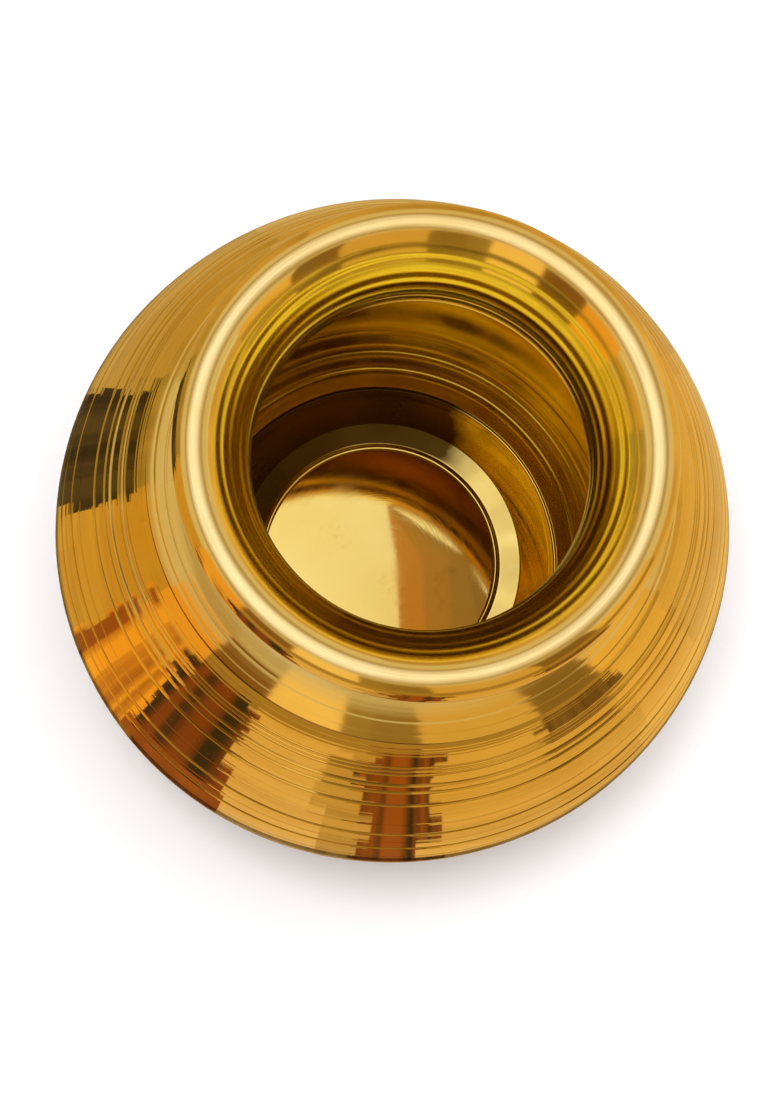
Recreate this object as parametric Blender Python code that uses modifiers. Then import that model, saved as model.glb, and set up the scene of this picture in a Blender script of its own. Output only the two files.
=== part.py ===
"""Brass water pot: eight turned pieces on one axis. Metres, +Z up, standing on z = 0.

Every piece is a closed section turned about Z. Sections are worked out in millimetres, as
(radius, height) points. Where one piece lies on another, its face is the other's face moved
by the sheet's thickness and a clearance, so the joints follow when a size changes.
"""

import math

import bpy

MM = 0.001
STEPS = 40

# Sheet, wire and fits
SHEET = 1.3
BASE_SHEET = 1.5
WIRE_RADIUS = 2.6
FIT = 0.3

# Lip and neck
LIP_RADIUS = 42.9
LIP_HEIGHT = 119.0
CURL_END = -145.0
WALL_FLARE = 46.0  # degrees from upright, at the lip
THROAT_FLARE = 12.0
THROAT_RADIUS = 32.3
THROAT_DROP = 12.5
THROAT_LAND = 1.5

# Flange of the collar
FLANGE_RADIUS = 52.2
FLANGE_DROP = 22.8
FLANGE_LAP = 9.5

# Body
BELLY_RADIUS = 73.0
BELLY_HEIGHT = 44.5
BELLY_LAP = 6.0
SEAM_WIDTH = 2.1
GROOVE_DEPTH = 0.35
GROOVE_HALF = 0.5
BAND_SHARES = (0.275, 0.39, 0.445, 0.55, 0.79, 0.904)

# Base
BOWL_FOOT_RADIUS = 43.0
DISH_RADIUS = 50.0
REST_RADIUS = 41.0
REST_INNER_RADIUS = 25.0
REST_RELIEF = 0.2
RING_RADIUS = 28.4
RING_STEP = 0.6
FLOOR_DISH = 0.7
BRAZE = 1.1


def bezier(a, b, c, d, count):
    points = []
    for i in range(count + 1):
        t = i / count
        s = 1 - t
        w = (s**3, 3 * s * s * t, 3 * s * t * t, t**3)
        points.append(tuple(w[0] * p + w[1] * q + w[2] * r + w[3] * u for p, q, r, u in zip(a, b, c, d)))
    return points


def unit(a, b):
    dx, dy = b[0] - a[0], b[1] - a[1]
    length = math.hypot(dx, dy)
    return dx / length, dy / length


def moved(line, by):
    """The line moved sideways: to the left of its direction where by is above zero."""
    result = []
    for i, point in enumerate(line):
        before = unit(line[i - 1], point) if i else unit(point, line[i + 1])
        after = unit(point, line[i + 1]) if i + 1 < len(line) else before
        nx, ny = -before[1] - after[1], before[0] + after[0]
        scale = 2 * by / (nx * nx + ny * ny)
        result.append((point[0] + nx * scale, point[1] + ny * scale))
    return result


def local(origin, ahead, along, left):
    """A point given along a direction and to the left of it."""
    return (
        origin[0] + ahead[0] * along - ahead[1] * left,
        origin[1] + ahead[1] * along + ahead[0] * left,
    )


def arc(centre, radius, start, end, count):
    angles = [math.radians(start + (end - start) * i / count) for i in range(count + 1)]
    return [(centre[0] + radius * math.cos(a), centre[1] + radius * math.sin(a)) for a in angles]


def cut_at(line, axis, value):
    """The part of the line from where it crosses a radius (axis 0) or a height (axis 1) on."""
    for i, (a, b) in enumerate(zip(line, line[1:])):
        share = (value - a[axis]) / (b[axis] - a[axis]) if b[axis] != a[axis] else -1
        if 0 <= share < 1:
            first = tuple(p + (q - p) * share for p, q in zip(a, b))
            rest = line[i + 1:]
            return [first] + (rest[1:] if share > 0.9 and len(rest) > 1 else rest)
    raise ValueError("the line never gets there")


def grooved(line, radii):
    """The line with a small V cut into it at each radius."""
    result = [line[0]]
    left = sorted(radii)
    for a, b in zip(line, line[1:]):
        ahead = unit(a, b)
        while left and a[0] <= left[0] < b[0]:
            share = (left.pop(0) - a[0]) / (b[0] - a[0])
            middle = (a[0] + (b[0] - a[0]) * share, a[1] + (b[1] - a[1]) * share)
            result.append(local(middle, ahead, -GROOVE_HALF, 0))
            result.append(local(middle, ahead, 0, -GROOVE_DEPTH))
            result.append(local(middle, ahead, GROOVE_HALF, 0))
        room = 1.5 * GROOVE_HALF
        if all(abs(b[0] - r) > room for r in radii):
            result.append(b)
    return result


def clockwise(loop):
    area = sum(a[0] * b[1] - b[0] * a[1] for a, b in zip(loop, loop[1:] + loop[:1]))
    return loop[::-1] if area > 0 else loop


def brass(name, colour, roughness):
    material = bpy.data.materials.new(name)
    material.use_nodes = True
    shader = material.node_tree.nodes["Principled BSDF"]
    shader.inputs["Base Color"].default_value = (*colour, 1)
    shader.inputs["Metallic"].default_value = 1
    shader.inputs["Roughness"].default_value = roughness
    return material


def turned(name, points, material, ring=True):
    """A new object: the section turned about Z. A ring's section is closed, off the axis."""
    count = len(points)
    edges = [(i, i + 1) for i in range(count - 1)]
    if ring:
        edges.append((count - 1, 0))
    mesh = bpy.data.meshes.new(name)
    mesh.from_pydata([(r * MM, 0, z * MM) for r, z in points], edges, [])
    mesh.materials.append(material)
    obj = bpy.data.objects.new(name, mesh)
    pot.objects.link(obj)
    screw = obj.modifiers.new("turn", "SCREW")
    screw.axis = "Z"
    screw.steps = STEPS
    screw.render_steps = STEPS
    screw.use_merge_vertices = True
    screw.merge_threshold = 0.00001
    return obj


for obj in list(bpy.data.objects):
    bpy.data.objects.remove(obj, do_unlink=True)
pot = bpy.data.collections.new("brass_water_pot")
bpy.context.scene.collection.children.link(pot)

sheet_brass = brass("sheet brass", (0.72, 0.47, 0.17), 0.22)
wire_brass = brass("wire brass", (0.66, 0.44, 0.18), 0.35)
braze = brass("braze", (0.42, 0.29, 0.13), 0.45)

# Rim wire
lip_centre = (LIP_RADIUS, LIP_HEIGHT)
turned("rim_wire", clockwise(arc(lip_centre, WIRE_RADIUS, 0, 324, 9)), wire_brass)

# Neck collar: an open curl round the wire, down the flared wall, through the throat, out to the flange
curl = WIRE_RADIUS + FIT + SHEET
throat = (THROAT_RADIUS, LIP_HEIGHT - THROAT_DROP)
roll = arc(lip_centre, curl, CURL_END, 180 - WALL_FLARE, 9)
wall_top = roll[-1]
lip_lean = math.radians(WALL_FLARE)
throat_lean = math.radians(THROAT_FLARE)
third = math.dist(wall_top, throat) / 3
wall = bezier(
    wall_top,
    (wall_top[0] - third * math.sin(lip_lean), wall_top[1] - third * math.cos(lip_lean)),
    (throat[0] + third * math.sin(throat_lean), throat[1] + third * math.cos(throat_lean)),
    throat,
    6,
)
flange_top = (THROAT_RADIUS + SHEET, throat[1] - THROAT_LAND)
flange_rim = (FLANGE_RADIUS, LIP_HEIGHT - FLANGE_DROP)
fall = flange_top[1] - flange_rim[1]
run = flange_rim[0] - flange_top[0]
flange = bezier(
    flange_top,
    (flange_top[0], flange_top[1] - 0.33 * fall),
    (flange_rim[0] - 0.45 * run, flange_rim[1] + 0.72 * fall),
    flange_rim,
    7,
)
facing_in = roll + wall[1:] + moved(flange, -SHEET)
collar = facing_in + moved(facing_in, SHEET)[::-1]
turned("neck_collar", clockwise(collar), sheet_brass)

# Neck seam: the fillet against the flange's edge, on the shoulder
rim_ahead = unit(flange[-2], flange[-1])
neck_seam = [
    local(flange_rim, rim_ahead, along, left)
    for along, left in ((FIT, -0.2), (FIT + BRAZE, -SHEET), (FIT, -SHEET))
]
turned("neck_seam", clockwise(neck_seam), braze)

# Shoulder shell: starts under the flange, ends at the widest level
lap = cut_at(moved(flange, -SHEET - FIT), 0, FLANGE_RADIUS - FLANGE_LAP)
start = lap[-1]
rise = start[1] - BELLY_HEIGHT
bulge = BELLY_RADIUS - start[0]
shoulder_face = lap + bezier(
    start,
    (start[0] + 0.37 * bulge, start[1] - 0.12 * rise),
    (BELLY_RADIUS, BELLY_HEIGHT + 0.25 * rise),
    (BELLY_RADIUS, BELLY_HEIGHT),
    11,
)[1:]
bands = [start[0] + bulge * share for share in BAND_SHARES]
shoulder = grooved(shoulder_face, bands) + moved(shoulder_face, -SHEET)[::-1]
turned("shoulder_shell", clockwise(shoulder), sheet_brass)

# Belly bowl: a strip inside the shoulder's edge, a joggle out to flush, then down to the foot
land = BASE_SHEET + RING_STEP
foot = (BOWL_FOOT_RADIUS, land + BRAZE + FIT)
seat = BELLY_HEIGHT - SEAM_WIDTH
shell = bezier(
    (BELLY_RADIUS, seat),
    (BELLY_RADIUS, seat - 0.55 * (seat - foot[1])),
    (foot[0] + 0.47 * (BELLY_RADIUS - foot[0]), foot[1] + 0.28 * (seat - foot[1])),
    foot,
    11,
)
strip = cut_at(moved(shoulder_face, -SHEET - FIT), 1, BELLY_HEIGHT + BELLY_LAP)
inset = strip[-1][0]
strip_back = moved(strip, -SHEET)
shell_back = moved(shell, -SHEET)
joggle_back = [(inset - SHEET, seat - SHEET)]
bowl = strip + [(inset, seat)] + shell + (strip_back + joggle_back + shell_back[1:])[::-1]
turned("belly_bowl", clockwise(bowl), sheet_brass)

# Belly seam: the braze line that fills the groove between the two shells
belly_seam = [
    (BELLY_RADIUS, BELLY_HEIGHT - FIT),
    (BELLY_RADIUS, seat + FIT),
    (inset + FIT, seat + FIT),
    (inset + FIT, BELLY_HEIGHT - FIT),
]
turned("belly_seam", clockwise(belly_seam), braze)

# Base dish: cups the bowl's foot from below, with a flat ring to stand on
cup = cut_at(shell, 0, DISH_RADIUS)
foot_ahead = unit(shell[-2], shell[-1])
cup_top = moved(cup, FIT)
corner = local(cup_top[-1], foot_ahead, (land - cup_top[-1][1]) / foot_ahead[1], 0)
floor_top = [
    (0, BASE_SHEET - FLOOR_DISH),
    (0.6 * RING_RADIUS, BASE_SHEET - 0.64 * FLOOR_DISH),
    (RING_RADIUS - RING_STEP, BASE_SHEET),
    (RING_RADIUS, land),
    corner,
]
underside = [
    (REST_RADIUS, 0),
    (REST_INNER_RADIUS, 0),
    (REST_INNER_RADIUS - REST_RELIEF, REST_RELIEF),
    (0, REST_RELIEF),
]
dish = floor_top + cup_top[::-1] + moved(cup, FIT + BASE_SHEET) + underside
turned("base_dish", dish, sheet_brass, ring=False)

# Base seam: the brazed ring inside, against the bowl's edge
base_seam = [
    local(foot, foot_ahead, along, left)
    for along, left in ((FIT, 0), (FIT, -BRAZE), (FIT + 0.5 * BRAZE, -0.8 * BRAZE), (FIT + BRAZE, 0))
]
turned("base_seam", clockwise(base_seam), braze)
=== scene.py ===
"""Looks of the brass water pot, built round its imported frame. Sections are in millimetres."""

import math

import bpy
import numpy as np
from mathutils import Matrix, Vector


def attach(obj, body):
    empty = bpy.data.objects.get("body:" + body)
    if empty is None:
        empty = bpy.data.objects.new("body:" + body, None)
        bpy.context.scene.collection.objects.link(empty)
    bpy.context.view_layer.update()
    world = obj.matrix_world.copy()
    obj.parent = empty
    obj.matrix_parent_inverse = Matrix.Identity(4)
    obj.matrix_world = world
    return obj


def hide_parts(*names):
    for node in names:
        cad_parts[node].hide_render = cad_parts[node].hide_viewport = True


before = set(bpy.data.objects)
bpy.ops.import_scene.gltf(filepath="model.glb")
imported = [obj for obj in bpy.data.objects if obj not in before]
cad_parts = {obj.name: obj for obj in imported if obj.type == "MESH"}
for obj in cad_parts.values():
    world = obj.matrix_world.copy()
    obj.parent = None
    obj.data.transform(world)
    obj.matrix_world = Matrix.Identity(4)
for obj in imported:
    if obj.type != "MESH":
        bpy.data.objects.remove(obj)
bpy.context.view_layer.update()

MM = 0.001
STEP = 0.2           # spacing of a section's points
BEAD_STEP = 0.12     # the same on the small brazed beads
BELLY_STEP = 0.15    # the same on the braze line at the belly
SEGMENTS = 320       # round the axis
WIRE_SEGMENTS = 192
FLOOR_SEGMENTS = 256
SHARP = 38           # degrees between two faces from which their edge stays sharp
WITHIN = 0.12        # how far the round lip lies inside the corners of the faceted one
PHASES = 6.28        # range of the random phases of waves

# Sizes of the solids, as in the part's source
SHEET, BASE_SHEET, WIRE_RADIUS, FIT = 1.3, 1.5, 2.6, 0.3
LIP_RADIUS, LIP_HEIGHT, CURL_END = 42.9, 119.0, -145.0
WALL_FLARE = 46.0
THROAT_RADIUS, THROAT_DROP, THROAT_LAND = 32.3, 12.5, 1.5
FLANGE_RADIUS, FLANGE_DROP, FLANGE_LAP = 52.2, 22.8, 9.5
BELLY_RADIUS, BELLY_HEIGHT, BELLY_LAP, SEAM_WIDTH = 73.0, 44.5, 6.0, 2.1
BAND_SHARES = (0.275, 0.39, 0.445, 0.55, 0.79, 0.904)
BOWL_FOOT_RADIUS, DISH_RADIUS = 43.0, 50.0
REST_RADIUS, REST_INNER_RADIUS, REST_RELIEF = 41.0, 25.0, 0.2
RING_RADIUS, RING_STEP, FLOOR_DISH, BRAZE = 28.4, 0.6, 0.7, 1.1

# Curves of the solids, as shares of their run and fall
FLANGE_PULL = (0.33, 0.45, 0.72)
SHOULDER_PULL = (0.37, 0.12, 0.25)
BOWL_PULL = (0.55, 0.47, 0.28)

# The body is not quite round: narrower along one line across it, towards its middle height
NARROWER, NARROW_AT, BODY_FROM, BODY_TO = 0.014, 110.0, 3.0, 96.0

# The neck's inner wall, from the lip to the throat: share of its length, degrees from upright
WALL_SLOPES = ((0.0, 46), (0.12, 41), (0.22, 39), (0.58, 34), (0.72, 8), (1.0, 2))
WALL_POINTS = 160

# Turning marks: seed, height, pitches
FINE_PITCHES = (0.9, 1.7, 3.1, 5.3)
WALL_TURNING = (3, 0.06, (2.3, 3.7, 6.7))
FLANGE_TURNING = (4, 0.006, FINE_PITCHES)
SHOULDER_TURNING = (7, 0.003, FINE_PITCHES)
SHOULDER_INNER_TURNING = (8, 0.02, FINE_PITCHES)
BOWL_TURNING = (13, 0.02, FINE_PITCHES)
BOWL_INNER_TURNING = (14, 0.03, (2.9, 4.7, 7.9, 13.1))
DRIFT = 0.05         # how fast the waves of a turning mark lose their beat

# Cut lines: where, depth, half width. On the flange "where" is the distance from its edge
FLANGE_LINES, FLANGE_CUT = (1.7, 4.3), (0.07, 0.22)
TRIPLE_APART, TRIPLE_CUTS = 1.2, ((-1, 0.16, 0.26), (0, 0.22, 0.26), (1, 0.16, 0.26))
BAND_CUTS = ((1, 0.32, 0.36), (2, 0.26, 0.32), (3, 0.34, 0.38), (4, 0.34, 0.38), (5, 0.30, 0.36))
BETWEEN_CUTS = ((3, 4, 1.5), (4, 5, 0.0))    # two bands, and how far past the middle between them
BETWEEN_CUT = (0.10, 0.30)
FINE_CUTS, FINE_SEED = 10, 31
FINE_DEPTHS, FINE_WIDTHS = (0.01, 0.035), (0.2, 0.28)
BAND_CROWN = 0.05    # how much each band of the shoulder bulges
BAND_TILTS = (0.05, -0.04, 0.03, -0.05, 0.05, -0.04, 0.0)

# Beads turned inside the bowl: radius, how proud they stand. Each has a groove beside it
BOWL_BEADS = (
    (45.2, 0.03), (46.5, 0.07), (47.3, 0.02), (49.0, 0.04), (49.8, 0.06), (51.4, 0.02), (54.0, 0.03),
)
BEAD_WIDTH, BEAD_GROOVE_AT, BEAD_GROOVE, BEAD_SOOT = 0.3, 0.7, 0.6, 0.6
BOWL_BACK_FROM = 8   # points of the bowl's inside that the joggle takes up

# The floor: a line inside its ring (distance, depth, half width) and a low moulding round the ring
# (where it starts, its width, its slope)
RING_LINE = (1.0, 0.06, 0.2)
LAND_SLOPES = ((0.3, 4.5, 0.213), (4.8, 8.0, -0.12))
LAND_END, LAND_ENDS_OVER = 41.2, 1.2

# Tarnish, soot and painted shade, as shares
INSIDE_TARNISH = 0.13
NECK_TARNISH = 0.03
NECK_SHADE_RINGS = (       # share of the wall, half width, painted shade: dark rings that stand in for dark reflected bands
    (0.13, 0.6, 0.5), (0.36, 0.3, 0.25), (0.64, 0.4, 0.6), (0.76, 0.5, 0.4), (0.93, 0.5, 0.5),
)
BOWL_SHADE_RINGS = (       # radius, half width, painted shade: dark rings that stand in for dark reflected bands
    (58.5, 2.2, 0.9), (52.8, 1.2, 0.9), (50.5, 0.7, 0.7), (48.2, 0.9, 0.9), (46.0, 0.5, 0.7),
)
BOWL_DARK_AT, BOWL_DARKER = 170.0, 0.9       # painted shade: azimuth where the bowl is darkest inside, by what share
# Painted shade on the land round the floor's ring: darkened all round but one side, where its reflection is
# left to show bright
LAND_UNSHADED_AT, LAND_SHADE_LEAST, LAND_SHADE_MOST = 5.0, 0.12, 2.0
LAND_UNSHADED_FROM, LAND_UNSHADED_OVER = 0.8, 0.6  # cosine of the angle to the unshaded side
RING_SOOT, RING_SOOT_WIDTH = 0.7, 0.3
SOOT_PER_DEPTH, SOOT_MOST, SOOT_ASIDE, SOOT_WIDTH = 2.4, 0.8, 0.25, 0.55


# ---- sections ----

def bezier(a, b, c, d, count=80):
    t = np.linspace(0, 1, count + 1)[:, None]
    s = 1 - t
    a, b, c, d = (np.array(p, float) for p in (a, b, c, d))
    return s**3 * a + 3 * s * s * t * b + 3 * s * t * t * c + t**3 * d


def arc(centre, radius, start, end, count=80):
    angle = np.radians(np.linspace(start, end, count + 1))
    return np.c_[centre[0] + radius * np.cos(angle), centre[1] + radius * np.sin(angle)]


def length_along(points):
    return np.r_[0, np.cumsum(np.hypot(*np.diff(points, axis=0).T))]


def spaced(points, step=STEP):
    """The same line with points an even step apart."""
    points = np.asarray(points, float)
    keep = np.r_[True, np.hypot(*np.diff(points, axis=0).T) > 1e-6]
    points = points[keep]
    s = length_along(points)
    at = np.linspace(0, s[-1], max(2, int(round(s[-1] / step)) + 1))
    return np.c_[np.interp(at, s, points[:, 0]), np.interp(at, s, points[:, 1])]


def eased(points, width):
    """Corners of an evenly spaced line, rounded over about this width. The ends stay."""
    spread = max(1, int(round(width / STEP)))
    pad = 3 * spread
    weights = np.exp(-0.5 * (np.arange(-pad, pad + 1) / spread) ** 2)
    weights /= weights.sum()
    result = points.copy()
    for k in range(2):
        line = points[:, k]
        long = np.r_[2 * line[0] - line[pad:0:-1], line, 2 * line[-1] - line[-2:-pad - 2:-1]]
        result[:, k] = np.convolve(long, weights, "valid")
    return result


def unit(vector):
    return vector / np.hypot(*vector)


def moved(points, by):
    """The line moved to the left of its direction, by one distance or by one for each point."""
    d = np.gradient(points, axis=0)
    d /= np.hypot(d[:, 0], d[:, 1])[:, None]
    return points + np.c_[-d[:, 1], d[:, 0]] * np.reshape(by, (-1, 1))


def from_where(points, axis, value):
    """The part of the line from where it crosses a radius (axis 0) or a height (axis 1) on."""
    side = points[:, axis] - value
    first = np.flatnonzero(side[:-1] * side[1:] <= 0)[0]
    return points[first + 1:]


def ramp(value, start, width):
    """0 up to the start, 1 from a width past it on."""
    return np.clip((value - start) / width, 0, 1)


def ridge(s, at, height, width):
    """A rounded ridge; a groove where the height is below zero."""
    return height * np.exp(-(((s - at) / width) ** 2))


def turning(s, seed, height, pitches):
    """Faint ridges that a spinning tool leaves, as a sum of waves that never quite repeat."""
    random = np.random.default_rng(seed)
    total = np.zeros_like(s)
    for pitch in pitches:
        drift = np.cumsum(random.normal(0, DRIFT, len(s)))
        total += np.sin(2 * np.pi * s / pitch + drift + random.uniform(0, PHASES)) / len(pitches)
    return total * height


def bead(origin, ahead, outline):
    """A closed outline given as distances along a direction and to the left of it."""
    left = np.array((-ahead[1], ahead[0]))
    return spaced([origin + ahead * a + left * b for a, b in outline + outline[:1]], BEAD_STEP)[:-1]


# ---- meshes ----

def wobble(angle, height, amount, seed):
    """Hand-finished unevenness: how far the radius falls short, in millimetres, never above zero."""
    random = np.random.default_rng(seed)
    total = np.zeros((len(height), len(angle)))
    for turns in (2, 3, 4, 5, 7, 9, 11, 14):
        wave = random.uniform(25, 60)
        part = np.cos(turns * angle + random.uniform(0, PHASES))[None, :]
        total += part * np.cos(2 * np.pi * height / wave + random.uniform(0, PHASES))[:, None] / turns**0.5
    return amount * (total - total.max())


def out_of_round(angle, height):
    """Share of the radius left, for a body that is a little narrower one way than the other."""
    t = ramp(height, BODY_FROM, BODY_TO - BODY_FROM)
    narrow = 0.5 + 0.5 * np.cos(2 * (angle - math.radians(NARROW_AT)))
    return 1 - NARROWER * np.sqrt(np.sin(np.pi * t))[:, None] * narrow[None, :]


def facing(azimuth, segments):
    """For each segment round the axis, the cosine of its angle to an azimuth in degrees."""
    return np.cos(np.linspace(0, 2 * np.pi, segments, endpoint=False) - math.radians(azimuth))


def lathe(name, section, material, node, ring=True, tarnish_and_shade=None, inside=None, uneven=0.0, seed=1,
          segments=SEGMENTS):
    """A piece turned from a section. A ring's section is closed; otherwise both ends lie on the axis.
    Each point has how tarnished it is and how much shade is painted on it, and tells whether it is inside the
    pot, for the brass."""
    section = np.asarray(section, float)
    count = len(section)
    tarnish_and_shade = np.zeros(count) if tarnish_and_shade is None else np.asarray(tarnish_and_shade, float)
    if tarnish_and_shade.ndim == 1:
        tarnish_and_shade = np.repeat(tarnish_and_shade[:, None], segments, 1)
    inside = np.zeros(count) if inside is None else np.asarray(inside, float)
    area = np.sum(section[:, 0] * np.roll(section[:, 1], -1) - np.roll(section[:, 0], -1) * section[:, 1])
    if area > 0:
        section, tarnish_and_shade, inside = section[::-1], tarnish_and_shade[::-1], inside[::-1]
    s = length_along(section)
    angle = np.arange(segments) * 2 * np.pi / segments
    rim = section if ring else section[1:-1]
    radius = rim[:, :1] * out_of_round(angle, rim[:, 1])
    if uneven:
        radius = radius + wobble(angle, rim[:, 1], uneven, seed)
    x, y = radius * np.cos(angle), radius * np.sin(angle)
    z = np.repeat(rim[:, 1:], segments, 1)
    points = np.stack([x, y, z], -1).reshape(-1, 3)

    rows = len(rim)
    i = np.arange(rows if ring else rows - 1)[:, None]
    j = np.arange(segments)[None, :]
    here, after, right = i * segments, (i + 1) % rows * segments, (j + 1) % segments
    faces = np.stack([here + j, after + j, after + right, here + right], -1).reshape(-1, 4).tolist()
    along = np.r_[s, s[-1] + np.hypot(*(section[0] - section[-1]))] if ring else s[1:-1]
    near, far = along[i] + 0 * j, along[i + 1] + 0 * j
    v = np.stack([near, far, far, near], -1).reshape(-1)
    u = np.stack([j + 0 * i, j + 0 * i, j + 1 + 0 * i, j + 1 + 0 * i], -1).reshape(-1) / segments
    if not ring:
        top, bottom = len(points), len(points) + 1
        points = np.r_[points, [[0, 0, section[0, 1]], [0, 0, section[-1, 1]]]]
        last = (rows - 1) * segments
        k = np.arange(segments)
        k1 = (k + 1) % segments
        faces += np.c_[np.full(segments, top), k, k1].tolist()
        faces += np.c_[np.full(segments, bottom), last + k1, last + k].tolist()
        cap_u = np.c_[k, k, k + 1].reshape(-1) / segments
        foot_u = np.c_[k, k + 1, k].reshape(-1) / segments
        u = np.r_[u, cap_u, foot_u]
        v = np.r_[v, np.tile([s[0], s[1], s[1]], segments), np.tile([s[-1], s[-2], s[-2]], segments)]
        tarnish_and_shade = np.r_[tarnish_and_shade[1:-1].reshape(-1), tarnish_and_shade[0, 0], tarnish_and_shade[-1, 0]]
        inside = np.zeros(len(points))
    else:
        tarnish_and_shade, inside = tarnish_and_shade.reshape(-1), np.repeat(inside, segments)

    mesh = bpy.data.meshes.new(name)
    mesh.from_pydata((points * MM).tolist(), [], faces)
    uv = mesh.uv_layers.new(name="turn")
    uv.data.foreach_set("uv", np.c_[u, v * MM].astype(np.float32).reshape(-1))
    for key, values in (("tarnish_and_shade", tarnish_and_shade), ("inside", inside)):
        mesh.attributes.new(key, "FLOAT", "POINT").data.foreach_set("value", values.astype(np.float32))
    mesh.polygons.foreach_set("use_smooth", np.ones(len(mesh.polygons), bool))
    mesh.set_sharp_from_angle(angle=math.radians(SHARP))
    mesh.materials.append(material)
    mesh.validate()
    mesh.update()
    piece = bpy.data.objects.new(name, mesh)
    bpy.context.scene.collection.objects.link(piece)
    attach(piece, "root")
    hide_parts(node)


# ---- materials ----

class Nodes:
    """Short calls to add and join shader nodes."""

    def __init__(self, tree):
        self.tree = tree

    def add(self, kind, inputs=None, **settings):
        node = self.tree.nodes.new(kind)
        for key, value in settings.items():
            setattr(node, key, value)
        for key, value in (inputs or {}).items():
            self.put(node.inputs[key], value)
        return node

    def put(self, socket, value):
        if isinstance(value, bpy.types.NodeSocket):
            self.tree.links.new(value, socket)
        else:
            socket.default_value = value

    def maths(self, operation, a, b=0.0):
        return self.add("ShaderNodeMath", {0: a, 1: b}, operation=operation).outputs[0]

    def mix(self, factor, a, b):
        node = self.add("ShaderNodeMix", data_type="RGBA")
        self.put(node.inputs[0], factor)
        self.put(node.inputs[6], a)
        self.put(node.inputs[7], b)
        return node.outputs[2]

    def span(self, value, low, high, to_low, to_high):
        names = {"Value": value, "From Min": low, "From Max": high, "To Min": to_low, "To Max": to_high}
        return self.add("ShaderNodeMapRange", names).outputs[0]

    def place(self):
        return self.add("ShaderNodeTexCoord").outputs["Object"]

    def noise(self, where, scale, detail, roughness=0.5, dimensions="3D"):
        socket = "W" if dimensions == "1D" else "Vector"
        inputs = {socket: where, "Scale": scale, "Detail": detail, "Roughness": roughness}
        return self.add("ShaderNodeTexNoise", inputs, noise_dimensions=dimensions).outputs[0]

    def attribute(self, name):
        return self.add("ShaderNodeAttribute", attribute_name=name).outputs["Fac"]


def rgb(r, g, b):
    return (r, g, b, 1.0)


GOLD = rgb(0.90, 0.64, 0.17)
AMBER = rgb(0.86, 0.55, 0.11)
YELLOW = rgb(0.93, 0.72, 0.09)    # inside the pot: painted light, a yellower tint standing in for the whiter light that falls inside
YELLOW_SHARE = 0.85
# Dark colour of soot, and also the colour that painted shade mixes to
SOOT_AND_SHADE_COLOUR = rgb(0.20, 0.11, 0.03)
FINE_LINES = 2.6                  # per millimetre down the section
STREAKS = (14.0, 3.4)             # round the axis, per millimetre down the section
CLOUD_SCALE, HAZE_SCALE, SPOT_SCALE = 38.0, 140.0, 95.0
BUMP_STRENGTH, BUMP_DISTANCE = 0.4, 0.000012


def brass(name, base, warm, soot_and_shade, rough, lines=1.0, spread=0.5, stains=0.0):
    """Polished, turned brass: fine lines round the axis, mottled colour, dark in its grooves where tarnished
    or sooty, darker still where painted shade is given, and a painted yellower tint inside the pot.
    """
    material = bpy.data.materials.new(name)
    material.use_nodes = True
    n = Nodes(material.node_tree)
    shader = material.node_tree.nodes["Principled BSDF"]
    shader.inputs["Metallic"].default_value = 1.0
    shader.inputs["Anisotropic"].default_value = spread
    shader.inputs["Anisotropic Rotation"].default_value = 0.25
    tangent = n.add("ShaderNodeTangent", direction_type="RADIAL", axis="Z").outputs[0]
    n.put(shader.inputs["Tangent"], tangent)

    at = n.add("ShaderNodeSeparateXYZ", {0: n.add("ShaderNodeUVMap", uv_map="turn").outputs[0]}).outputs
    down = n.maths("MULTIPLY", at[1], 1 / MM)
    place = n.place()
    fine = n.noise(n.maths("MULTIPLY", down, FINE_LINES), 1.0, 3.0, dimensions="1D")
    streak_at = {0: n.maths("MULTIPLY", at[0], STREAKS[0]), 1: n.maths("MULTIPLY", down, STREAKS[1])}
    streak = n.noise(n.add("ShaderNodeCombineXYZ", streak_at).outputs[0], 1.0, 4.0, dimensions="2D")
    cloud = n.noise(place, CLOUD_SCALE, 4.0, 0.55)
    haze = n.noise(place, HAZE_SCALE, 5.0, 0.6)
    tarnish_and_shade = n.attribute("tarnish_and_shade")

    colour = n.mix(n.span(cloud, 0.38, 0.66, 0.0, 0.75), base, warm)
    lined = n.maths("MULTIPLY", n.span(streak, 0.56, 0.74, 0.0, 0.30), lines)
    colour = n.mix(lined, colour, warm)
    # Painted light: the inside of the pot tinted yellower
    colour = n.mix(n.maths("MULTIPLY", n.attribute("inside"), YELLOW_SHARE), colour, YELLOW)
    # Darkening from the mesh's tarnish and its painted shade, mixed towards the dark colour
    dark = n.maths("MULTIPLY", tarnish_and_shade, n.span(cloud, 0.36, 0.64, 0.45, 1.5))
    if stains:
        spots = n.noise(place, SPOT_SCALE, 6.0, 0.7)
        dark = n.maths("MAXIMUM", dark, n.span(spots, 0.60, 0.75, 0.0, stains))
    n.put(shader.inputs["Base Color"], n.mix(dark, colour, soot_and_shade))
    uneven = n.maths("ADD", n.span(haze, 0.35, 0.7, 0.0, 0.03), n.span(streak, 0.4, 0.8, 0.0, 0.04))
    uneven = n.maths("ADD", uneven, n.maths("MULTIPLY", dark, 0.08))
    n.put(shader.inputs["Roughness"], n.maths("ADD", uneven, rough))

    height = n.maths("ADD", n.maths("MULTIPLY", fine, 0.7), n.maths("MULTIPLY", streak, 0.5))
    height = n.maths("ADD", height, n.maths("MULTIPLY", haze, 0.05))
    height = n.maths("MULTIPLY", height, n.span(tarnish_and_shade, 0.0, 0.25, 1.0, 0.08))
    relief = {"Height": height, "Strength": BUMP_STRENGTH, "Distance": BUMP_DISTANCE * lines}
    n.put(shader.inputs["Normal"], n.add("ShaderNodeBump", relief).outputs[0])
    return material


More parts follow.
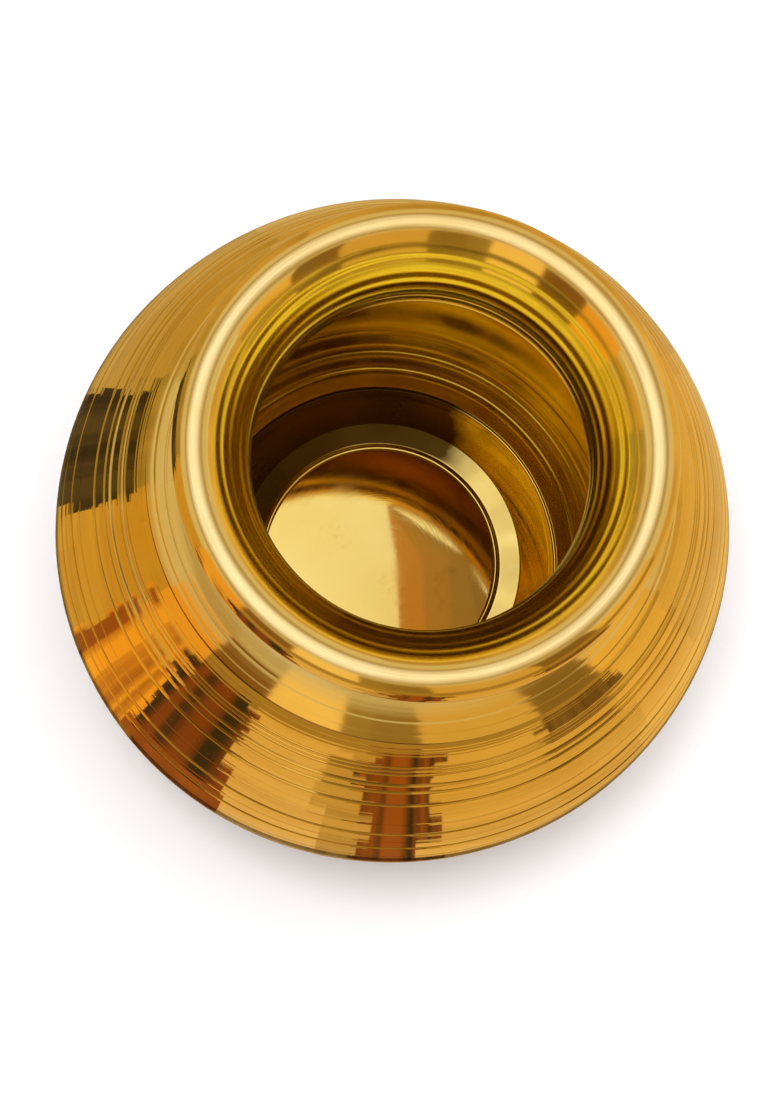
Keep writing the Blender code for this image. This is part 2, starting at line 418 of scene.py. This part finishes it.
collar_brass = brass("collar_brass", GOLD, AMBER, SOOT_AND_SHADE_COLOUR, 0.09, lines=0.8, spread=0.75)
body_brass = brass("body_brass", GOLD, AMBER, SOOT_AND_SHADE_COLOUR, 0.05, lines=1.0, spread=0.75)
# The floor's dark colour is darker than the others' so that its painted shade on the land comes out dark
base_brass = brass("base_brass", rgb(0.84, 0.565, 0.10), rgb(0.80, 0.50, 0.07), rgb(0.06, 0.026, 0.002), 0.02,
                   lines=0.12, spread=0.2, stains=0.2)
wire_brass = brass("wire_brass", AMBER, AMBER, SOOT_AND_SHADE_COLOUR, 0.25, lines=0.2, spread=0.0)
braze = brass("braze", rgb(0.36, 0.22, 0.07), rgb(0.28, 0.15, 0.04), SOOT_AND_SHADE_COLOUR, 0.24,
              lines=0.6, spread=0.2, stains=0.8)
bright_braze = brass("bright_braze", rgb(0.80, 0.52, 0.12), AMBER, SOOT_AND_SHADE_COLOUR, 0.10,
                     lines=0.6, spread=0.2, stains=0.9)

# ---- the pieces ----

lip_centre = (LIP_RADIUS, LIP_HEIGHT)
lathe("lip_wire", arc(lip_centre, WIRE_RADIUS, 0, 352.5, 47), wire_brass, "rim_wire",
      segments=WIRE_SEGMENTS)

# Collar: curl, flared wall, throat, flange. The wall follows its slopes, fitted between its ends
throat = np.array((THROAT_RADIUS, LIP_HEIGHT - THROAT_DROP))
roll = arc(lip_centre, WIRE_RADIUS + FIT + SHEET - WITHIN, CURL_END, 180 - WALL_FLARE)
share, slope = np.array(WALL_SLOPES).T
lean = np.radians(np.interp(np.linspace(0, 1, WALL_POINTS), share, slope))
path = np.cumsum(np.r_[[(0, 0)], -np.c_[np.sin(lean), np.cos(lean)]], axis=0) @ (1, 1j)
wall = path * ((throat - roll[-1]) @ (1, 1j)) / path[-1]
wall = roll[-1] + np.c_[wall.real, wall.imag]
flange_top = (THROAT_RADIUS + SHEET, throat[1] - THROAT_LAND)
flange_rim = (FLANGE_RADIUS, LIP_HEIGHT - FLANGE_DROP)
fall, run = flange_top[1] - flange_rim[1], flange_rim[0] - flange_top[0]
flange = spaced(bezier(
    flange_top,
    (flange_top[0], flange_top[1] - FLANGE_PULL[0] * fall),
    (flange_rim[0] - FLANGE_PULL[1] * run, flange_rim[1] + FLANGE_PULL[2] * fall),
    flange_rim,
))
facing_in = eased(spaced(np.r_[roll, wall[1:], moved(flange, -SHEET)]), 0.4)
facing_out = moved(facing_in, SHEET)
s = length_along(facing_in)
wall_from = length_along(roll)[-1]
wall_to = wall_from + length_along(wall)[-1]
on_wall = ramp(s, wall_from, 2) * ramp(-s, -wall_to - 1, 2)
facing_in = moved(facing_in, -on_wall * turning(s, *WALL_TURNING))
flange_cuts = sum(ridge(s, s[-1] - at, -FLANGE_CUT[0], FLANGE_CUT[1]) for at in FLANGE_LINES)
facing_out = moved(facing_out, turning(s, *FLANGE_TURNING) + flange_cuts)
neck_tarnish_and_shade = NECK_TARNISH * ramp(s, wall_from, 3)
# Painted shade: dark rings on the neck's inner wall, standing in for dark reflected bands, over its tarnish
for share, width, soot_and_shade in NECK_SHADE_RINGS:
    neck_tarnish_and_shade = np.maximum(neck_tarnish_and_shade, ridge(s, wall_from + share * (wall_to - wall_from), soot_and_shade, width))
neck_inside = ramp(s, wall_from, 4) * ramp(-s, -wall_to - 3, 2)
outside = np.zeros(len(s))
lathe("turned_collar", np.r_[facing_in, facing_out[::-1]], collar_brass, "neck_collar",
      tarnish_and_shade=np.r_[neck_tarnish_and_shade, outside], inside=np.r_[neck_inside, outside], uneven=0.02, seed=5)

# Shoulder
lap = from_where(moved(flange, -SHEET - FIT), 0, FLANGE_RADIUS - FLANGE_LAP)
start = lap[-1]
rise, bulge = start[1] - BELLY_HEIGHT, BELLY_RADIUS - start[0]
shoulder_line = np.r_[lap, bezier(
    start,
    (start[0] + SHOULDER_PULL[0] * bulge, start[1] - SHOULDER_PULL[1] * rise),
    (BELLY_RADIUS, BELLY_HEIGHT + SHOULDER_PULL[2] * rise),
    (BELLY_RADIUS, BELLY_HEIGHT),
)[1:]]
shoulder_line = eased(spaced(shoulder_line), 0.5)
s = length_along(shoulder_line)
bands = [s[np.argmax(shoulder_line[:, 0] >= start[0] + bulge * share)] for share in BAND_SHARES]
cuts = [(bands[0] + side * TRIPLE_APART, depth, width) for side, depth, width in TRIPLE_CUTS]
cuts += [(bands[k], depth, width) for k, depth, width in BAND_CUTS]
cuts += [(0.5 * (bands[a] + bands[b]) + past, *BETWEEN_CUT) for a, b, past in BETWEEN_CUTS]
lap_end = length_along(lap)[-1]
random = np.random.default_rng(FINE_SEED)
for at in random.uniform(lap_end + 1, s[-1] - 1, FINE_CUTS):
    cuts.append((at, random.uniform(*FINE_DEPTHS), random.uniform(*FINE_WIDTHS)))
relief = np.zeros_like(s)
soot_line = np.zeros_like(s)
for at, depth, width in cuts:
    relief += ridge(s, at, -depth, width)
    soot_and_shade = min(SOOT_MOST, SOOT_PER_DEPTH * depth)
    soot_line = np.maximum(soot_line, ridge(s, at + SOOT_ASIDE * width, soot_and_shade, SOOT_WIDTH * width))
stops = [lap_end, *bands, s[-1]]
for a, b, tilt in zip(stops, stops[1:], BAND_TILTS):
    band = (s >= a) & (s < b)
    t = (s[band] - a) / (b - a)
    relief[band] += BAND_CROWN * (4 * t * (1 - t) - 1) + tilt * (t - 0.5)
relief += turning(s, *SHOULDER_TURNING)
relief[s < lap_end] = 0
relief -= max(0.0, relief.max())
outer = moved(shoulder_line, relief)
inner = moved(shoulder_line, -SHEET + turning(s, *SHOULDER_INNER_TURNING))[::-2]
lathe("turned_shoulder", np.r_[outer, inner], body_brass, "shoulder_shell",
      tarnish_and_shade=np.r_[soot_line, np.full(len(inner), INSIDE_TARNISH)],
      inside=np.r_[np.zeros(len(outer)), np.ones(len(inner))], uneven=0.05, seed=11)

# Neck seam: a brazed fillet against the flange's edge
fillet = [(0.02, -0.25), (0.22, -0.62), (0.6, -1.02), (1.25, -1.42), (1.3, -1.56), (0.02, -1.56)]
lathe("neck_braze", bead(np.array(flange_rim), unit(flange[-1] - flange[-2]), fillet),
      braze, "neck_seam", uneven=0.02, seed=21)

# Bowl
land = BASE_SHEET + RING_STEP
foot = np.array((BOWL_FOOT_RADIUS, land + BRAZE + FIT))
seat = BELLY_HEIGHT - SEAM_WIDTH
shell = spaced(bezier(
    (BELLY_RADIUS, seat),
    (BELLY_RADIUS, seat - BOWL_PULL[0] * (seat - foot[1])),
    (foot[0] + BOWL_PULL[1] * (BELLY_RADIUS - foot[0]), foot[1] + BOWL_PULL[2] * (seat - foot[1])),
    foot,
))
strip = from_where(moved(shoulder_line, -SHEET - FIT), 1, BELLY_HEIGHT + BELLY_LAP)
inset = strip[-1, 0]
s = length_along(shell)
bowl_lines = turning(s, *BOWL_TURNING)
shell_out = moved(shell, bowl_lines - bowl_lines.max())
inner_relief = turning(s, *BOWL_INNER_TURNING)
shell_tarnish_and_shade = np.full(len(s), INSIDE_TARNISH)
for radius, proud in BOWL_BEADS:
    at = s[np.argmax(shell[:, 0] <= radius)]
    beside = at - BEAD_GROOVE_AT
    inner_relief += ridge(s, at, proud, BEAD_WIDTH) + ridge(s, beside, -BEAD_GROOVE * proud, BEAD_WIDTH)
    shell_tarnish_and_shade = np.maximum(shell_tarnish_and_shade, ridge(s, beside, BEAD_SOOT, BEAD_WIDTH))
# Painted shade: dark rings inside the bowl, standing in for dark reflected bands, over its tarnish
for radius, width, soot_and_shade in BOWL_SHADE_RINGS:
    shell_tarnish_and_shade = np.maximum(shell_tarnish_and_shade, ridge(s, s[np.argmax(shell[:, 0] <= radius)], soot_and_shade, width))
shell_in = moved(shell, -SHEET - inner_relief)
front = np.r_[strip, [(inset, seat)], shell_out]
back = np.r_[moved(strip, -SHEET), [(inset - SHEET, seat - SHEET)], shell_in[BOWL_BACK_FROM:]]
back_tarnish_and_shade = np.r_[np.full(len(strip) + 1, INSIDE_TARNISH), shell_tarnish_and_shade[BOWL_BACK_FROM:]]
bowl_tarnish_and_shade = np.r_[np.zeros(len(front)), back_tarnish_and_shade[::-1]]
# Painted shade: the bowl's inside darker on one side and lighter on the other, by azimuth
bowl_tarnish_and_shade = np.clip(bowl_tarnish_and_shade[:, None] * (1 + BOWL_DARKER * facing(BOWL_DARK_AT, SEGMENTS)), 0, 1)
lathe("turned_bowl", np.r_[front, back[::-1]], body_brass, "belly_bowl", tarnish_and_shade=bowl_tarnish_and_shade,
      inside=np.r_[np.zeros(len(front)), np.ones(len(back))], uneven=0.035, seed=12)

# Belly seam: the braze line between the two shells
belly_line = [
    (BELLY_RADIUS - 0.1, BELLY_HEIGHT - 0.08),
    (BELLY_RADIUS - 0.16, BELLY_HEIGHT - 0.5 * SEAM_WIDTH),
    (BELLY_RADIUS - 0.1, seat + 0.08),
    (inset + 0.05, seat + 0.08),
    (inset + 0.05, BELLY_HEIGHT - 0.08),
]
lathe("belly_braze", spaced(belly_line + belly_line[:1], BELLY_STEP)[:-1], braze, "belly_seam",
      uneven=0.02, seed=22)

# Base
cup = from_where(shell, 0, DISH_RADIUS)
foot_ahead = unit(shell[-1] - shell[-2])
cup_top = moved(cup, FIT)
corner = cup_top[-1] + foot_ahead * (land - cup_top[-1, 1]) / foot_ahead[1]
dished = [
    (share * (RING_RADIUS - RING_STEP), BASE_SHEET - FLOOR_DISH * (1 - share**2))
    for share in np.linspace(0, 1, 60)
]
floor_top = eased(spaced([*dished, (RING_RADIUS, land), corner, *cup_top[::-1]]), 0.3)
floor_top[0] = (0, BASE_SHEET - FLOOR_DISH)
out = floor_top[:, 0] - RING_RADIUS
floor_relief = ridge(out, -RING_LINE[0], -RING_LINE[1], RING_LINE[2])
for start_at, width, slope in LAND_SLOPES:
    floor_relief += slope * np.clip(out - start_at, 0, width)
floor_relief *= ramp(out, -2, 1.5) * ramp(-floor_top[:, 0], -LAND_END, LAND_ENDS_OVER)
floor_relief[0] = 0
top = moved(floor_top, floor_relief)
top[0] = floor_top[0]
under = eased(spaced(np.r_[moved(cup, FIT + BASE_SHEET), [(REST_RADIUS, 0)]]), 0.3)
feet = [(REST_INNER_RADIUS, 0), (REST_INNER_RADIUS - REST_RELIEF, REST_RELIEF), (0, REST_RELIEF)]
dish = np.r_[top, under, spaced(np.r_[under[-1:], feet])[1:]]
dish[:, 1] = np.maximum(dish[:, 1], 0)
# Painted shade on the land: darkened all round but one side; the soot at the ring's step is kept with it
shaded = ramp(-facing(LAND_UNSHADED_AT, FLOOR_SEGMENTS), -LAND_UNSHADED_FROM, LAND_UNSHADED_OVER)
land_painted_shade = LAND_SHADE_LEAST + (LAND_SHADE_MOST - LAND_SHADE_LEAST) * shaded
ring_worn = ridge(out, -RING_SOOT_WIDTH, RING_SOOT, RING_SOOT_WIDTH)
dish_soot_and_shade = np.zeros((len(dish), FLOOR_SEGMENTS))
dish_soot_and_shade[:len(top)] = np.maximum(ring_worn[:, None], ramp(out, 0, 0.4)[:, None] * land_painted_shade)
lathe("floor_and_foot", dish, base_brass, "base_dish", ring=False, tarnish_and_shade=dish_soot_and_shade,
      segments=FLOOR_SEGMENTS)

# Base seam: the brazed ring inside, against the bowl's edge
bead_line = [(0.03, 0.22), (0.03, -1.15), (0.3, -1.2), (0.7, -0.95), (1.1, -0.45), (1.35, 0.0), (1.4, 0.22)]
lathe("base_braze", bead(foot, foot_ahead, bead_line), bright_braze, "base_seam",
      uneven=0.02, seed=23)

# ---- camera ----

PHOTO_FOCAL = 2200 / 1108    # focal length over the photograph's height
SENSOR = 36.0
CAMERA_AT = Vector((-0.0389, -0.0927, 0.5103))
CAMERA_RIGHT = Vector((0.99671, 0.0, 0.08109)).normalized()
CAMERA_BACK = Vector((-0.07974, -0.18223, 0.98002))
camera_up = CAMERA_BACK.cross(CAMERA_RIGHT).normalized()
camera_back = CAMERA_RIGHT.cross(camera_up)
camera = bpy.data.objects.new("camera", bpy.data.cameras.new("camera"))
bpy.context.scene.collection.objects.link(camera)
turn = Matrix((CAMERA_RIGHT, camera_up, camera_back)).transposed()
camera.matrix_world = Matrix.Translation(CAMERA_AT) @ turn.to_4x4()
camera.data.sensor_width = SENSOR
camera.data.lens = SENSOR * PHOTO_FOCAL
camera.data.clip_start = 0.01
bpy.context.scene.camera = camera

# ---- light and floor ----


def seen_as_background(n):
    path = n.add("ShaderNodeLightPath").outputs
    either = n.maths("MAXIMUM", path["Is Camera Ray"], path["Is Glossy Ray"])
    return n.maths("MAXIMUM", either, path["Is Transmission Ray"])


def stage_mesh(name, points, faces, material):
    mesh = bpy.data.meshes.new(name)
    mesh.from_pydata(points, [], faces)
    mesh.materials.append(material)
    obj = bpy.data.objects.new(name, mesh)
    bpy.context.scene.collection.objects.link(obj)
    return obj


def square(half):
    return [(-half, -half), (half, -half), (half, half), (-half, half)]


FLOOR_HALF = 3.0
SWEEP = (0.096, 0.5)         # the floor turns white between these distances
FLOOR_GLOW = (0.14, 0.82)    # its own brightness before and after
FILL = 0.58                  # light from all round
floor_material = bpy.data.materials.new("pale_floor")
floor_material.use_nodes = True
n = Nodes(floor_material.node_tree)
paper = floor_material.node_tree.nodes["Principled BSDF"]
paper.inputs["Base Color"].default_value = rgb(0.82, 0.82, 0.835)
paper.inputs["Roughness"].default_value = 0.9
paper.inputs["Specular IOR Level"].default_value = 0.0
paper.inputs["Emission Color"].default_value = rgb(1, 1, 1)
away = n.add("ShaderNodeVectorMath", {0: n.place()}, operation="LENGTH").outputs["Value"]
sweep = n.span(away, *SWEEP, *FLOOR_GLOW)
n.put(paper.inputs["Emission Strength"], n.maths("MULTIPLY", seen_as_background(n), sweep))
stage_mesh("floor", [(x, y, 0) for x, y in square(FLOOR_HALF)], [(0, 1, 2, 3)], floor_material)

CEILING = (0.74, 0.67, 0.62)
RINGS_PER_METRE, RINGS_SLANT, RAYS = 55.0, 1.5, 10.0    # streaks on bright cards, and on dark ones
DARK_CARD = 0.5
CORE_CLOUD, CORE_CLOUD_SHARE = 9.0, 0.35    # scale of the cloud on a core, and how much it dims
CORE_PLATEAU = 0.35                         # share of its width over which a core stays even


def distance(n, x, y):
    return n.maths("SQRT", n.maths("ADD", n.maths("MULTIPLY", x, x), n.maths("MULTIPLY", y, y)))


def only_reflected(name, points, faces, colour, streaks=None, above=None, core=None, from_below=False):
    """A studio card that shows in reflections and nowhere else. It may have streaks of a second colour
    round the pot, turn into the ceiling's colour above a height, be brighter at its core than outside
    it, and shine only downwards."""
    material = bpy.data.materials.new(name)
    material.use_nodes = True
    tree = material.node_tree
    tree.nodes.remove(tree.nodes["Principled BSDF"])
    n = Nodes(tree)
    place = n.place()
    x, y, z = n.add("ShaderNodeSeparateXYZ", {0: place}).outputs
    shade = rgb(*colour)
    if streaks:
        azimuth = n.maths("ARCTAN2", y, x)
        rings = n.maths("MULTIPLY", distance(n, x, y), RINGS_PER_METRE)
        rings = n.maths("ADD", rings, n.maths("MULTIPLY", azimuth, RINGS_SLANT))
        at = n.maths("MULTIPLY", azimuth, RAYS) if max(streaks) < DARK_CARD else rings
        noise = n.noise(at, 1.0, 3.0, dimensions="1D")
        shade = n.mix(n.span(noise, 0.40, 0.60, 0.0, 1.0), shade, rgb(*streaks))
    if above:
        shade = n.mix(n.span(z, *above, 0.0, 1.0), shade, rgb(*CEILING))
    if core:
        centre, wide, outer_colour = core
        away = distance(n, n.maths("SUBTRACT", x, centre[0]), n.maths("SUBTRACT", y, centre[1]))
        cloud = n.noise(place, CORE_CLOUD, 2.0)
        shade = n.mix(n.span(cloud, 0.40, 0.62, 0.0, CORE_CLOUD_SHARE), shade, rgb(*outer_colour))
        shade = n.mix(n.span(away, CORE_PLATEAU * wide, wide, 0.0, 1.0), shade, rgb(*outer_colour))
    glow = n.add("ShaderNodeEmission", {"Color": shade}).outputs[0]
    if from_below:
        behind = n.add("ShaderNodeNewGeometry").outputs["Backfacing"]
        clear = n.add("ShaderNodeBsdfTransparent").outputs[0]
        glow = n.add("ShaderNodeMixShader", {0: behind, 1: clear, 2: glow}).outputs[0]
    tree.links.new(glow, tree.nodes["Material Output"].inputs["Surface"])
    obj = stage_mesh(name, points, faces, material)
    obj.visible_camera = obj.visible_diffuse = obj.visible_shadow = obj.visible_transmission = False


# Cards lie on the floor round the pot, in steps that shift sideways as the bands of the pot do,
# and turn up at their far end. Azimuth 0 is +X, 90 is +Y.
CARD_STEPS = (0.043, 0.078, 0.092, 0.115, 0.15, 0.21, 0.30, 0.42, 0.50)
CARD_HEIGHT = 0.001
BLACK, OLIVE, GOLDEN = (0.05, 0.035, 0.02), (0.46, 0.32, 0.10), (0.80, 0.52, 0.16)
RUST, ORANGE = (0.36, 0.11, 0.025), (1.0, 0.47, 0.05)
STRIPS = (    # name, azimuth it starts at, colour, colour of its streaks, height it reaches
    ("right", -15, (0.90, 0.61, 0.23), (0.64, 0.43, 0.15), 0.30),
    ("upper_right", 35, (0.78, 0.52, 0.20), (0.56, 0.37, 0.13), 0.30),
    ("top", 75, (0.72, 0.50, 0.18), (0.52, 0.35, 0.12), 0.35),
    ("upper_left", 108, OLIVE, (0.66, 0.44, 0.14), 0.35),
    ("black", 150, BLACK, (0.10, 0.07, 0.03), 0.30),
    ("left", 173, (0.72, 0.43, 0.08), (0.58, 0.34, 0.07), 0.30),
    ("orange", 198, ORANGE, RUST, 0.45),
    ("brown", 214, BLACK, (0.24, 0.07, 0.02), 0.60),
    ("cream", 236, (0.86, 0.60, 0.28), (0.72, 0.48, 0.20), 0.75),
    ("lower", 257, (0.50, 0.32, 0.11), (0.70, 0.46, 0.18), 0.75),
    ("mahogany", 264, RUST, BLACK, 0.75),
    ("lower_gold", 279, (0.84, 0.56, 0.20), (0.68, 0.45, 0.15), 0.75),
    ("grey_brown", 307, (0.24, 0.14, 0.05), (0.12, 0.06, 0.02), 0.75),
    ("lower_right", 325, (0.92, 0.61, 0.20), (0.78, 0.51, 0.17), 0.50),
)
BROKEN_UP = {    # cards that show another colour at some of their steps; -1 is the upright one
    "black": (OLIVE, (0, 1, 7, -1)),
    "orange": (GOLDEN, (0, 5, 7)),
    "brown": (RUST, (0, 1, 2)),
    "mahogany": (GOLDEN, (0,)),
    "grey_brown": (GOLDEN, (0, 1, 2, 3, 4)),
}
WALLS = {    # the front cards' own colours, upright
    "orange": (0.90, 0.46, 0.08),
    "brown": (0.24, 0.12, 0.03),
    "cream": (1.0, 0.74, 0.38),
    "lower": (0.36, 0.25, 0.09),
    "mahogany": (0.32, 0.21, 0.07),
    "lower_gold": (0.72, 0.49, 0.18),
    "grey_brown": (0.26, 0.16, 0.05),
}
CONTACT = (0.55, 0.30)        # brightness of the steps under the belly and next to it: painted shadow, standing in for the floor's shade there as the pot reflects it
STREAK_DIM = 0.85             # brightness of the streaks where a card shows its other colour
HORIZON = (0.03, 0.20)        # the dark band low on the walls in front: from, to
HORIZON_COLOUR = (0.42, 0.27, 0.09)
IN_FRONT = (200, 345)
SHIFT, SHIFT_SEED = 4, 17     # degrees
FADE_FROM = 0.7               # share of an upright card's height where it starts to fade out
random = np.random.default_rng(SHIFT_SEED)
shift = random.uniform(-SHIFT, SHIFT, (len(STRIPS) + 1, len(CARD_STEPS)))
shift[-1] = shift[0]
starts = [strip[1] for strip in STRIPS] + [360 + STRIPS[0][1]]


def card(name, k, m, ends, colour, streaks=None, above=None):
    """One card between two edges of a strip: ends are its near and far (distance, height)."""
    first, last = starts[k:k + 2]
    count = max(2, round((last - first) / 4))
    angles = np.radians(np.linspace(first + shift[k, m], last + shift[k + 1, m], count + 1))
    points = [(d * math.cos(angle), d * math.sin(angle), height) for angle in angles for d, height in ends]
    faces = [(2 * i, 2 * i + 1, 2 * i + 3, 2 * i + 2) for i in range(count)]
    only_reflected(name, points, faces, colour, streaks, above)


def dimmed(colour, by):
    return tuple(by * c for c in colour)


def colours(name, m, own):
    """A card's colour and the colour of its streaks at one of its steps."""
    other, where = BROKEN_UP.get(name, (None, ()))
    return (other, dimmed(other, STREAK_DIM)) if m in where else own


def upright(kind, k, low, high, *colour, **more):
    distance_out = CARD_STEPS[-1]
    card(kind + "_" + STRIPS[k][0], k, -1, ((distance_out, low), (distance_out, high)), *colour, **more)


for k, (name, first, colour, streaks, top) in enumerate(STRIPS):
    own = (colour, streaks)
    for m, (near, far) in enumerate(zip(CARD_STEPS, CARD_STEPS[1:])):
        by = CONTACT[m] if m < len(CONTACT) else 1.0
        pair = (dimmed(c, by) for c in colours(name, m, own))
        card("card_%s_%d" % (name, m), k, m, ((near, CARD_HEIGHT), (far, CARD_HEIGHT)), *pair)
    pair = colours(name, -1, own)
    low = CARD_HEIGHT
    if IN_FRONT[0] <= first < IN_FRONT[1]:
        upright("foot", k, low, HORIZON[0], *pair)
        upright("horizon", k, *HORIZON, HORIZON_COLOUR)
        low = HORIZON[1]
    pair = (WALLS[name], None) if name in WALLS else pair
    upright("wall", k, low, top, *pair, above=(FADE_FROM * top, top))


def overhead(name, corners, height, colour, **more):
    points = [(x, y, height) for x, y in corners]
    only_reflected(name, points, [tuple(range(len(corners)))], colour, **more)


CEILING_HALF, CEILING_HEIGHT = 3, 1.3
SOFTBOX_CORNERS, SOFTBOX_HEIGHT = [(-1.0, -0.8), (0.8, -0.8), (0.8, 0.9), (-1.0, 0.9)], 1.0
SOFTBOX_COLOUR = (1.32, 1.5, 2.8)
SOFTBOX_CORE = ((-0.15, 0.05), 0.7, (0.52, 0.43, 0.34))    # centre, radius, colour outside it
overhead("ceiling", square(CEILING_HALF), CEILING_HEIGHT, CEILING)
overhead("softbox", SOFTBOX_CORNERS, SOFTBOX_HEIGHT, SOFTBOX_COLOUR, core=SOFTBOX_CORE)

# Cards in the neck, which only the floor sees: their near edge, and their colours from there
MOUTH_HEIGHT, MOUTH_RADIUS, MOUTH_STEP = 0.112, 0.033, 0.005
EDGE = ((0.0103, 0.0315), (0.0117, 0.0212), (0.0124, 0.0092), (0.0125, 0.0))
SHADES = ((0.58, 0.31, 0.15), (0.44, 0.28, 0.17), (0.36, 0.25, 0.17), (0.30, 0.21, 0.17))


def mouth_edge(k):
    return tuple((min(x + MOUTH_STEP * k, math.sqrt(MOUTH_RADIUS**2 - y * y)), y) for x, y in EDGE)


for k, shade in enumerate(SHADES):
    corners = mouth_edge(k) + mouth_edge(k + 1)[::-1]
    overhead("in_mouth_%d" % k, corners, MOUTH_HEIGHT, shade, from_below=True)


def area(name, place, size, power, toward=(0, 0, 0.06)):
    lamp = bpy.data.lights.new(name, "AREA")
    lamp.shape = "RECTANGLE"
    lamp.size = lamp.size_y = size
    lamp.energy = power
    obj = bpy.data.objects.new(name, lamp)
    obj.location = place
    obj.rotation_euler = (Vector(toward) - Vector(place)).to_track_quat("-Z", "Y").to_euler()
    obj.visible_glossy = False
    bpy.context.scene.collection.objects.link(obj)


LAMPS = (    # name, place, side of its square, watts
    ("key", (0.12, 0.15, 1.14), 0.60, 4.1),
    ("second", (-0.17, 0.0, 0.97), 0.27, 3.83),
)
for lamp in LAMPS:
    area(*lamp)

world = bpy.data.worlds.new("studio")
bpy.context.scene.world = world
world.use_nodes = True
n = Nodes(world.node_tree)
sky = world.node_tree.nodes["Background"]
n.put(sky.inputs["Strength"], n.maths("MAXIMUM", seen_as_background(n), FILL))
sky.inputs["Color"].default_value = rgb(1, 1, 1)

bpy.context.scene.view_settings.view_transform = "Standard"
